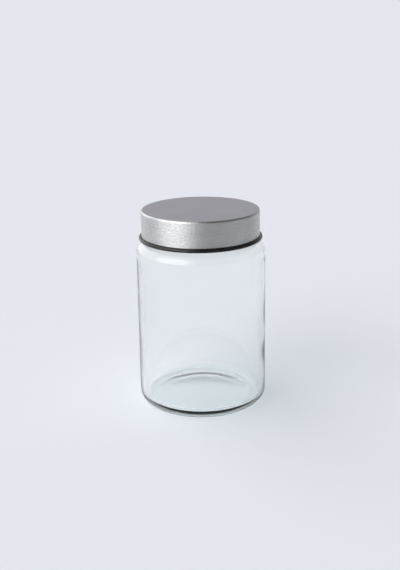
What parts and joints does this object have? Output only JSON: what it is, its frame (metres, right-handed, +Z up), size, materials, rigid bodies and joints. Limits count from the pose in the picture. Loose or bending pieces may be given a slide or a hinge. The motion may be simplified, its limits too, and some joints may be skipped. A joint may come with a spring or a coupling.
{
  "type": "spice jar",
  "caption": "Straight-sided clear glass spice jar with a rounded shoulder and a screw lid: a brushed steel shell over a black plastic insert.",
  "frame": {"origin": "centre of the foot, on the surface that the jar stands on", "axes": "+Z up along the axis of the jar and of its lid; the shape is round, so +X and +Y are only the picture's right and far side"},
  "size_m": [0.064, 0.064, 0.0979],
  "materials": {
    "clear_glass": "clear soda-lime glass with a faint green tint",
    "liner_foam": "soft white closed-cell liner",
    "black_plastic": "moulded black polypropylene with a satin surface",
    "brushed_steel": "fine brushed stainless sheet"
  },
  "bodies": {
    "jar": {"glass_jar": "clear_glass"},
    "liner": {"seal_liner": "liner_foam"},
    "cap": {"thread_insert": "black_plastic", "steel_shell": "brushed_steel"}
  },
  "joints": [
    {"name": "lid_rise", "type": "slide", "parent": "jar", "child": "liner", "axis": [0, 0, 1], "range_m": [0, 0.024]},
    {"name": "lid_turn", "type": "hinge", "parent": "liner", "child": "cap", "pos_m": [0, 0, 0.09], "axis": [0, 0, 1], "range_deg": [0, 720]}
  ],
  "couplings": [
    {"joint": "lid_rise", "follows": "lid_turn", "m_per_rad": 0.0019099}
  ]
}
